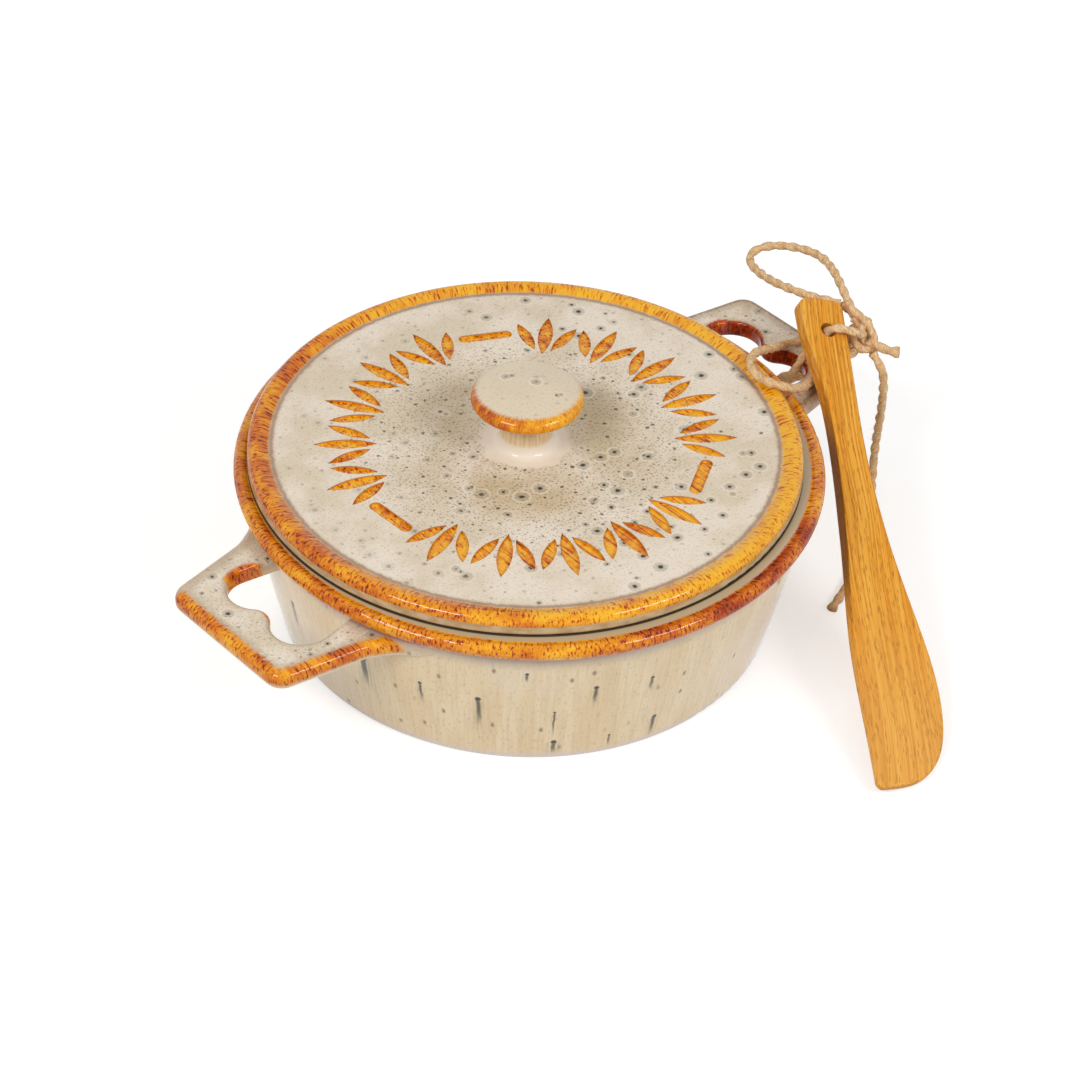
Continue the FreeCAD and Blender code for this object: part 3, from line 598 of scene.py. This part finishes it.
# Spreader: one flat piece of pale hardwood, sawn to shape, sanded and oiled. The grain runs along it.
# It leans from the table up to the right handle, with the twine through the hole near its top.
TIP_CENTRE = (21.941, -136.73, 2.3314)
HEADING = math.radians(54.4)
LEAN = math.radians(20.535)
ROLL = math.radians(17.0)
GRAIN_SWAY = 9.0
WOOD_DEEP = tint(230, 154, 38)
WOOD_PALE = tint(237, 168, 56)
GRAIN_DARK = tint(198, 116, 14)
GRAIN_GLEAM = tint(248, 196, 100)
PORE_BROWN = tint(176, 104, 24)
TIP_PALE = tint(234, 176, 96)
SIDE_TONE_AND_SHADE = tint(112, 62, 18)
SAWN_END = tint(190, 130, 62)
END_PORE = tint(112, 62, 20)

along_board = Vector((math.cos(HEADING) * math.cos(LEAN), math.sin(HEADING) * math.cos(LEAN),
                      math.sin(LEAN)))
level_across = Vector((math.sin(HEADING), -math.cos(HEADING), 0.0))
level_up = level_across.cross(along_board)
across_board = level_across * math.cos(ROLL) - level_up * math.sin(ROLL)
through_board = level_up * math.cos(ROLL) + level_across * math.sin(ROLL)
board_turn = Matrix((across_board, along_board, through_board))

wood = Finish("oiled_wood")
board = wood.add("ShaderNodeMapping", [wood.place])
board.inputs["Rotation"].default_value = board_turn.to_euler()
board.inputs["Location"].default_value = -(board_turn @ Vector(TIP_CENTRE))
board_place = board.outputs[0]
width_at, length_at, depth_at = wood.parts(board_place)
facing = wood.add("ShaderNodeMapping", [wood.facing], vector_type="NORMAL")
facing.inputs["Rotation"].default_value = board_turn.to_euler()
facing_aside, facing_along = wood.parts(facing.outputs[0])[:2]
sway = wood.noise(wood.stretch(board_place, 0.01, 0.012, 0.01), 1.0, 1.0)
grain_place = wood.vector(wood.plus(width_at, wood.times(sway, GRAIN_SWAY)), length_at, depth_at)
bands = wood.noise(wood.stretch(grain_place, 0.34, 0.004, 0.22), 1.0, 2.0)
lines = wood.noise(wood.stretch(grain_place, 1.5, 0.010, 1.2), 1.0, 3.0, 0.6)
distance, chance = wood.cells(wood.stretch(grain_place, 2.3, 0.24, 2.3), 1.0, flat=False)
pore = wood.both(wood.rise(distance, 0.42, 0.15), wood.rise(chance[0], 0.35, 0.4))
# The board's left side face, darker along its middle: painted shade from the dish over a darker tone of
# the side's own wood.
side_tone_and_shade = wood.both(wood.rise(wood.times(facing_aside, -1.0), 0.55, 0.9),
                      wood.band(length_at, 62.0, 128.0, 12.0))
sawn_end = wood.rise(wood.calc("ABSOLUTE", facing_along), 0.6, 0.9)
distance, chance = wood.cells(wood.stretch(board_place, 1.8, 0.5, 1.8), 1.0, flat=False)
end_pore = wood.both(sawn_end, wood.rise(distance, 0.3, 0.15), 0.7)
colour = wood.mix(wood.rise(bands, 0.36, 0.66), WOOD_DEEP, WOOD_PALE)
colour = wood.lay(colour, GRAIN_DARK, wood.rise(lines, 0.52, 0.40), 0.7)
colour = wood.lay(colour, GRAIN_GLEAM, wood.rise(lines, 0.54, 0.64), 0.45)
colour = wood.lay(colour, PORE_BROWN, pore, 0.45)
colour = wood.lay(colour, TIP_PALE, wood.rise(length_at, 80.0, 10.0), 0.4)
colour = wood.lay(colour, SIDE_TONE_AND_SHADE, side_tone_and_shade, 0.75)
colour = wood.lay(colour, SAWN_END, sawn_end, 0.4)
colour = wood.mix(end_pore, colour, END_PORE)
wood.paint(colour, wood.scaled(lines, 0.16, 0.40), 0.25)
wood.bump(wood.minus(wood.times(lines, 0.5), wood.times(pore, 0.6)), 0.00025)
wood.dress(spreader)

# Twine: one length of two-ply jute, passed through the spreader's hole and round the bar of the right
# handle, and tied in a bow. Each route is the middle line of one stretch, in metres.
TWINE = 0.0026
STRAND_RADIUS = TWINE * 0.56
FANNED_END = 0.003
PLY_PITCH = 0.0090
# Each ply's offset from the strand's middle and its radius, as shares of the strand's radius.
PLY_OFFSET = 0.25
PLY_RADIUS = 0.75
RING_STEP = 0.0004
RING_POINTS = 16
HAIRS_PER_MM = 0.8
HAIR_RINGS = 5
HAIR_SIDES = 3
JUTE_DARK = tint(216, 162, 104)
JUTE_PALE = tint(255, 228, 184)
JUTE_PEACH = tint(222, 166, 118)
ROUTES = {
    "tie": [
        (0.1189, -0.0243, 0.0567), (0.1154, -0.0240, 0.0593), (0.1088, -0.0189, 0.0619),
        (0.1084, -0.0142, 0.0521), (0.1035, -0.0131, 0.0492), (0.1018, -0.0122, 0.0436),
        (0.0990, -0.0090, 0.0404), (0.0967, -0.0065, 0.0387), (0.0973, -0.0037, 0.0362),
        (0.1008, -0.0027, 0.0341), (0.1050, -0.0057, 0.0343), (0.1117, -0.0097, 0.0373),
        (0.1189, -0.0140, 0.0400), (0.1222, -0.0146, 0.0444), (0.1229, -0.0164, 0.0504),
    ],
    "bow_low": [
        (0.1194, -0.0162, 0.0524), (0.1149, -0.0110, 0.0493), (0.1096, -0.0064, 0.0488),
        (0.1048, -0.0052, 0.0492), (0.0973, -0.0064, 0.0517), (0.0882, -0.0092, 0.0564),
        (0.0812, -0.0126, 0.0605), (0.0764, -0.0156, 0.0610), (0.0739, -0.0200, 0.0610),
        (0.0732, -0.0252, 0.0610), (0.0754, -0.0296, 0.0608), (0.0800, -0.0310, 0.0580),
        (0.0854, -0.0294, 0.0548), (0.0902, -0.0268, 0.0514), (0.0946, -0.0244, 0.0492),
        (0.0998, -0.0228, 0.0488), (0.1064, -0.0216, 0.0488), (0.1124, -0.0212, 0.0489),
        (0.1175, -0.0227, 0.0500),
    ],
    "bow_high": [
        (0.1247, -0.0122, 0.0590), (0.1277, -0.0048, 0.0622), (0.1315, 0.0022, 0.0622),
        (0.1343, 0.0096, 0.0618), (0.1341, 0.0172, 0.0608), (0.1318, 0.0242, 0.0596),
        (0.1285, 0.0294, 0.0580), (0.1239, 0.0309, 0.0570), (0.1193, 0.0276, 0.0568),
        (0.1164, 0.0210, 0.0579), (0.1143, 0.0118, 0.0596), (0.1146, 0.0024, 0.0612),
        (0.1166, -0.0034, 0.0610), (0.1221, -0.0106, 0.0599),
    ],
    "tail_long": [
        (0.1205, -0.0273, 0.0507), (0.1213, -0.0310, 0.0470), (0.1224, -0.0318, 0.0410),
        (0.1242, -0.0306, 0.0286), (0.1253, -0.0290, 0.0160), (0.1252, -0.0290, 0.0072),
        (0.1212, -0.0328, 0.0023), (0.1118, -0.0410, 0.00135), (0.0986, -0.0504, 0.0014),
        (0.0850, -0.0602, 0.00135), (0.0756, -0.0648, 0.0014), (0.0662, -0.0683, 0.00135),
    ],
}


def smooth_line(route):
    """Closely spaced points read from the NURBS spline that has the route as its control points."""
    curve = bpy.data.curves.new("route", "CURVE")
    curve.dimensions = "3D"
    spline = curve.splines.new("NURBS")
    spline.points.add(len(route) - 1)
    for point, place in zip(spline.points, route):
        point.co = (*place, 1.0)
    spline.order_u = 3
    spline.use_endpoint_u = True
    spline.resolution_u = 16
    holder = bpy.data.objects.new("route", curve)
    bpy.context.scene.collection.objects.link(holder)
    mesh = bpy.data.meshes.new_from_object(holder)
    points = [vertex.co.copy() for vertex in mesh.vertices]
    bpy.data.objects.remove(holder)
    bpy.data.meshes.remove(mesh)
    return points


def even_steps(points, step):
    """The line again, with its points a step apart, and how far along each one is."""
    lengths = [0.0]
    for first, second in zip(points, points[1:]):
        lengths.append(lengths[-1] + (second - first).length)
    count = max(4, round(lengths[-1] / step))
    result = []
    index = 0
    for number in range(count + 1):
        target = lengths[-1] * number / count
        while index < len(points) - 2 and lengths[index + 1] < target:
            index += 1
        span = lengths[index + 1] - lengths[index]
        share = (target - lengths[index]) / span if span else 0.0
        result.append((points[index].lerp(points[index + 1], share), target))
    return result


class Strand:
    """Vertices, faces and fibre coordinates of twine pieces that become one mesh."""

    def __init__(self, seed):
        self.places = []
        self.faces = []
        self.fibres = []
        self.chance = random.Random(seed)

    def lay(self, points, radius=STRAND_RADIUS, open_end=0.0):
        """Two-ply twine along a line. open_end is the length at its far end that fans out a little."""
        line = even_steps(points, RING_STEP)
        total = line[-1][1]
        normal = None
        phase = self.chance.uniform(0, math.tau)
        rings = []
        for number, (middle, length) in enumerate(line):
            before = line[max(number - 1, 0)][0]
            after = line[min(number + 1, len(line) - 1)][0]
            tangent = (after - before).normalized()
            if normal is None:
                normal = tangent.orthogonal()
            normal = (normal - tangent * normal.dot(tangent)).normalized()
            side = tangent.cross(normal)
            swell = 1.0 + 0.05 * math.sin(length * 900 + phase) + 0.03 * self.chance.uniform(-1, 1)
            loose = max(0.0, 1.0 - (total - length) / open_end) if open_end else 0.0
            swell *= 1.0 + 0.16 * loose
            twist = phase + math.tau * length / PLY_PITCH
            rings.append(len(self.places))
            for corner in range(RING_POINTS):
                around = math.tau * corner / RING_POINTS
                aside = PLY_OFFSET * math.sin(around)
                reach = PLY_OFFSET * abs(math.cos(around)) + math.sqrt(PLY_RADIUS ** 2 - aside ** 2)
                angle = around + twist
                offset = (normal * math.cos(angle) + side * math.sin(angle)) * (radius * reach * swell)
                self.places.append(self.kept_in(middle + offset))
                self.fibres.append((length * 1000, corner))
            if number % 3 == 0 and self.chance.random() < HAIRS_PER_MM * RING_STEP * 3000:
                self.grow_hair(middle, tangent, normal, side, radius)
        self.join(rings, RING_POINTS)

    def kept_in(self, place):
        """The place, or the nearest one to it inside the object's overall size."""
        return Vector(min(max(value, low), high) for value, low, high in zip(place, *cad_box))

    def grow_hair(self, middle, tangent, normal, side, radius):
        """One stray fibre that leaves the surface and curls away."""
        angle = self.chance.uniform(0, math.tau)
        outward = normal * math.cos(angle) + side * math.sin(angle)
        sideways = tangent.cross(outward) * self.chance.uniform(-0.8, 0.8)
        heading = (tangent * self.chance.choice((-1, 1)) + outward * 0.25 + sideways).normalized()
        length = self.chance.uniform(0.0012, 0.0036)
        place = middle + outward * radius * 0.8
        thick = self.chance.uniform(0.00003, 0.00006)
        rings = []
        for step in range(HAIR_RINGS):
            rings.append(len(self.places))
            across = heading.orthogonal().normalized()
            for corner in range(HAIR_SIDES):
                around = math.tau * corner / HAIR_SIDES
                offset = across * math.cos(around) + heading.cross(across) * math.sin(around)
                self.places.append(self.kept_in(place + offset * thick * (1.0 - 0.2 * step)))
                self.fibres.append((step, corner))
            place = place + heading * (length / (HAIR_RINGS - 1))
            heading = (heading + outward * self.chance.uniform(-0.1, 0.35) + sideways * 0.2).normalized()
        self.join(rings, HAIR_SIDES)

    def join(self, rings, sides):
        """Faces from each ring of points to the next, and one over each end."""
        for first, second in zip(rings, rings[1:]):
            for corner in range(sides):
                after = (corner + 1) % sides
                self.faces.append((first + corner, first + after, second + after, second + corner))
        self.faces.append(tuple(reversed(range(rings[0], rings[0] + sides))))
        self.faces.append(tuple(range(rings[-1], rings[-1] + sides)))

    def piece(self, name, finish):
        """The object made of all that was laid, in its finish."""
        mesh = bpy.data.meshes.new(name)
        mesh.from_pydata(self.places, [], self.faces)
        layer = mesh.uv_layers.new(name="fibre")
        for loop in mesh.loops:
            layer.data[loop.index].uv = self.fibres[loop.vertex_index]
        mesh.polygons.foreach_set("use_smooth", [True] * len(mesh.polygons))
        thing = bpy.data.objects.new(name, mesh)
        bpy.context.scene.collection.objects.link(thing)
        finish.dress(thing)
        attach(thing, "root")
        return thing


jute = Finish("jute")
fibre = jute.add("ShaderNodeUVMap", uv_map="fibre").outputs[0]
length_along, corner_round = jute.parts(fibre)[:2]
fibre_place = jute.vector(jute.times(length_along, 0.5), jute.times(corner_round, 0.9),
                          jute.times(jute.x, 0.4))
fibre_lines = jute.noise(fibre_place, 1.6, 4.0, 0.7)
blotch = jute.rise(jute.noise(jute.place, 0.35, 3.0), 0.45, 0.75)
colour = jute.mix(jute.rise(fibre_lines, 0.36, 0.66), JUTE_DARK, JUTE_PALE)
colour = jute.lay(colour, JUTE_PEACH, blotch, 0.4)
jute.paint(colour, 0.85, 0.2)
jute.bump(fibre_lines, 0.0003)

lines_of_twine = {name: smooth_line(route) for name, route in ROUTES.items()}
for seed, name in enumerate(ROUTES):
    strand = Strand(seed)
    strand.lay(lines_of_twine[name], open_end=FANNED_END if name == "tail_long" else 0.0)
    strand.piece("twine_strand_" + name, jute)
    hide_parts("twine_" + name)

# Knot: the bow's middle, where the twine crosses over itself, turns back once and is pulled tight. The
# ends of the other stretches run into it, and the short cut end sticks out beside the long tail.
KNOT_SEED = 20
SHORT_END_RADIUS = TWINE * 0.62
KNOT_ROUTES = [
    [
        (0.1234, -0.0128, 0.0610), (0.1222, -0.0152, 0.0605), (0.1219, -0.0180, 0.0600),
        (0.1226, -0.0205, 0.0592), (0.1231, -0.0226, 0.0574), (0.1233, -0.0243, 0.0548),
        (0.1231, -0.0255, 0.0520), (0.1222, -0.0261, 0.0497), (0.1218, -0.0265, 0.0485),
    ],
    [
        (0.1222, -0.0218, 0.0537), (0.1210, -0.0211, 0.0558), (0.1223, -0.0210, 0.0573),
        (0.1250, -0.0201, 0.0575),
    ],
    [
        (0.1232, -0.0103, 0.0591), (0.1232, -0.0133, 0.0588), (0.1232, -0.0162, 0.0577),
        (0.1229, -0.0185, 0.0556), (0.1221, -0.0208, 0.0538), (0.1216, -0.0233, 0.0518),
        (0.1221, -0.0248, 0.0502),
    ],
    [
        (0.1220, -0.0168, 0.0547), (0.1196, -0.0191, 0.0536), (0.1183, -0.0214, 0.0523),
        (0.1184, -0.0238, 0.0512), (0.1201, -0.0251, 0.0508), (0.1228, -0.0244, 0.0511),
        (0.1249, -0.0225, 0.0519),
    ],
    [(0.1202, -0.0146, 0.0511), (0.1206, -0.0171, 0.0524), (0.1221, -0.0190, 0.0535)],
    [(0.1205, -0.0193, 0.0464), (0.1206, -0.0206, 0.0492), (0.1221, -0.0206, 0.0521)],
    [(0.1230, -0.0159, 0.0492), (0.1228, -0.0177, 0.0521), (0.1235, -0.0189, 0.0544)],
    [
        (0.1215, -0.0169, 0.0581), (0.1219, -0.0193, 0.0569), (0.1234, -0.0212, 0.0545),
        (0.1236, -0.0231, 0.0520),
    ],
]
SHORT_END = [
    (0.1216, -0.0240, 0.0530), (0.1233, -0.0276, 0.0521), (0.1245, -0.0306, 0.0514),
    (0.1262, -0.0333, 0.0517),
]

knot = Strand(KNOT_SEED)
for route in KNOT_ROUTES:
    knot.lay(smooth_line(route))
knot.lay(smooth_line(SHORT_END), radius=SHORT_END_RADIUS, open_end=FANNED_END)
knot_piece = knot.piece("twine_knot_turns", jute)
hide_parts("twine_knot", "twine_tail_short")


# Table and light: a pale table top under even studio light, with two soft lamps. Both the table and the
# surroundings look brighter than the light they give, which keeps the shadows and the tones apart.
TABLE_SIZE = 8.0
TABLE_COLOUR = (0.68, 0.68, 0.68, 1.0)
TABLE_GLOW = 0.52
WHITE = (1.0, 1.0, 1.0, 1.0)
SKY_LIGHT = 0.48
SKY_SEEN = 1.0
LAMP_WIDTH = 0.62
LAMP_HEIGHT = 0.24
LAMP_AIM = Vector((0.0, 0.0, 0.05))


def seen_share(tree):
    """1 for a ray that sees the surface from the camera, in a gloss or through a piece, else 0."""
    rays = tree.nodes.new("ShaderNodeLightPath")
    share = rays.outputs["Is Camera Ray"]
    for kind in ("Is Glossy Ray", "Is Transmission Ray"):
        larger = tree.nodes.new("ShaderNodeMath")
        larger.operation = "MAXIMUM"
        tree.links.new(share, larger.inputs[0])
        tree.links.new(rays.outputs[kind], larger.inputs[1])
        share = larger.outputs[0]
    return share


bpy.ops.object.select_all(action="DESELECT")
bpy.ops.mesh.primitive_plane_add(size=TABLE_SIZE, location=(0, 0, 0))
table = bpy.context.active_object
table.name = "table_top"
pale = Finish("pale_table")
pale.paint(TABLE_COLOUR, 0.9, 0.1)
glow = pale.add("ShaderNodeEmission")
pale.feed(glow.inputs["Strength"], pale.times(seen_share(pale.tree), TABLE_GLOW))
glowing = pale.add("ShaderNodeAddShader", [pale.shader.outputs[0], glow.outputs[0]])
pale.feed(pale.tree.nodes["Material Output"].inputs["Surface"], glowing.outputs[0])
pale.dress(table)

world = bpy.data.worlds.new("studio")
world.use_nodes = True
bpy.context.scene.world = world
sky = world.node_tree.nodes["Background"]
sky.inputs["Color"].default_value = WHITE
level = world.node_tree.nodes.new("ShaderNodeMapRange")
level.inputs["To Min"].default_value = SKY_LIGHT
level.inputs["To Max"].default_value = SKY_SEEN
world.node_tree.links.new(seen_share(world.node_tree), level.inputs["Value"])
world.node_tree.links.new(level.outputs[0], sky.inputs["Strength"])


def lamp(name, place, power):
    """A soft flat box of light at a place, turned to the dish."""
    light = bpy.data.lights.new(name, "AREA")
    light.shape = "RECTANGLE"
    light.size = LAMP_WIDTH
    light.size_y = LAMP_HEIGHT
    light.energy = power
    holder = bpy.data.objects.new(name, light)
    holder.location = place
    holder.rotation_euler = (LAMP_AIM - Vector(place)).to_track_quat("-Z", "Y").to_euler()
    bpy.context.scene.collection.objects.link(holder)


lamp("softbox_left", (-1.0, -0.15, 1.0), 7.2)
lamp("softbox_right", (0.2, -1.05, 0.9), 5.8)

# Camera: the photograph's view, from the front left and well above the table, with the frame turned a
# little and shifted as in the photograph.
CAMERA_PLACE = (-0.52315, -0.56373, 0.65510)
VIEW_RIGHT = Vector((0.73300, -0.68023, 0.0))
VIEW_UP = Vector((0.42904, 0.46232, 0.77600))
TURN_COS = 0.99937
TURN_SIN = 0.03542

camera_data = bpy.data.cameras.new("camera")
camera_data.sensor_width = 36.0
camera_data.lens = 108.328
camera_data.shift_x = 0.01117
camera_data.shift_y = -0.02259
camera_data.clip_end = 20.0
camera = bpy.data.objects.new("camera", camera_data)
camera_x = VIEW_RIGHT * TURN_COS + VIEW_UP * TURN_SIN
camera_y = VIEW_UP * TURN_COS - VIEW_RIGHT * TURN_SIN
camera_axes = Matrix((camera_x, camera_y, camera_x.cross(camera_y))).transposed().to_4x4()
camera.matrix_world = Matrix.Translation(CAMERA_PLACE) @ camera_axes
bpy.context.scene.collection.objects.link(camera)
bpy.context.scene.camera = camera
bpy.context.scene.view_settings.view_transform = "Standard"
